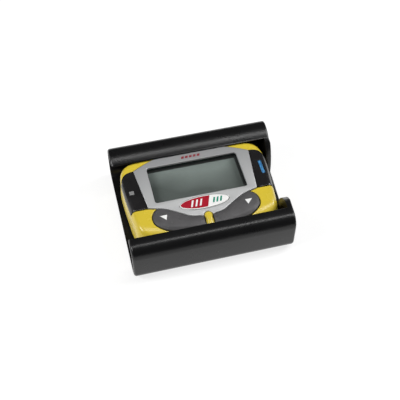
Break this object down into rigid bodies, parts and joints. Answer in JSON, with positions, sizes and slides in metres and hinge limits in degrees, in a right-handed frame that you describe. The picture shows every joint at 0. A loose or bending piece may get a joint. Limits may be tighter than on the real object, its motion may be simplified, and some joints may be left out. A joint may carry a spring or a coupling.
{
  "type": "pager",
  "caption": "Wide display pager with two wing keys, lying face up in a C-shaped belt holster whose right end is walled and scooped for a finger.",
  "frame": {"origin": "middle of the holster's flat back face, at the height of that face", "axes": "+X right along the display, +Y towards the display's top edge, +Z out of the display"},
  "size_m": [0.0852, 0.0712, 0.0228],
  "materials": {
    "holster_black": "semi-gloss moulded sheet with a faint grain",
    "case_yellow": "smooth moulded, slightly worn",
    "case_black": "fine texture",
    "plate_silver": "satin silver paint",
    "panel_black": "satin",
    "mark_grey": "satin",
    "light_blue": "translucent light pipe",
    "lens_clear": "clear hard-coated plastic",
    "emblem_red": "domed label",
    "key_grey": "soft-touch",
    "lcd_grey": "grey-green reflective display",
    "diffuser_white": "milky",
    "plated_steel": "nickel plated",
    "board_green": "solder mask",
    "chip_black": "moulded",
    "ferrite_grey": "sintered",
    "winding_copper": "enamelled copper wire",
    "cell_jacket": "printed foil"
  },
  "bodies": {
    "holster": {"holster_shell": "holster_black"},
    "pager": {"front_case": "case_yellow", "rear_case": "case_black", "face_plate": "plate_silver", "left_panel": "panel_black", "right_panel": "panel_black", "panel_mark": "mark_grey", "status_light": "light_blue", "display_lens": "lens_clear", "emblem": "emblem_red", "centre_rib": "case_yellow", "lcd_glass": "lcd_grey", "lcd_backlight": "diffuser_white", "lcd_frame": "plated_steel", "main_board": "board_green", "key_board": "board_green", "rf_shield": "plated_steel", "processor_chip": "chip_black", "crystal_filter": "plated_steel", "status_led": "diffuser_white", "dome_switch_left": "plated_steel", "dome_switch_right": "plated_steel", "antenna_rod": "ferrite_grey", "antenna_coil": "winding_copper", "earphone_jack": "chip_black", "buzzer": "chip_black", "vibration_motor": "plated_steel", "battery_cell": "cell_jacket", "battery_contact": "plated_steel", "battery_spring": "plated_steel", "case_screw_1": "plated_steel", "case_screw_2": "plated_steel", "case_screw_3": "plated_steel", "case_screw_4": "plated_steel"},
    "left_key": {"left_button": "key_grey"},
    "right_key": {"right_button": "key_grey"},
    "door": {"battery_door": "case_black"}
  },
  "joints": [
    {"name": "pager_slide", "type": "slide", "parent": "holster", "child": "pager", "axis": [-1, 0, 0], "range_m": [0, 0.085]},
    {"name": "left_key_press", "type": "slide", "parent": "pager", "child": "left_key", "axis": [0, 0, -1], "range_m": [0, 0.0005], "stiffness_N_per_m": 800},
    {"name": "right_key_press", "type": "slide", "parent": "pager", "child": "right_key", "axis": [0, 0, -1], "range_m": [0, 0.0005], "stiffness_N_per_m": 800},
    {"name": "battery_door_slide", "type": "slide", "parent": "pager", "child": "door", "axis": [-1, 0, 0], "range_m": [0, 0.052]}
  ]
}
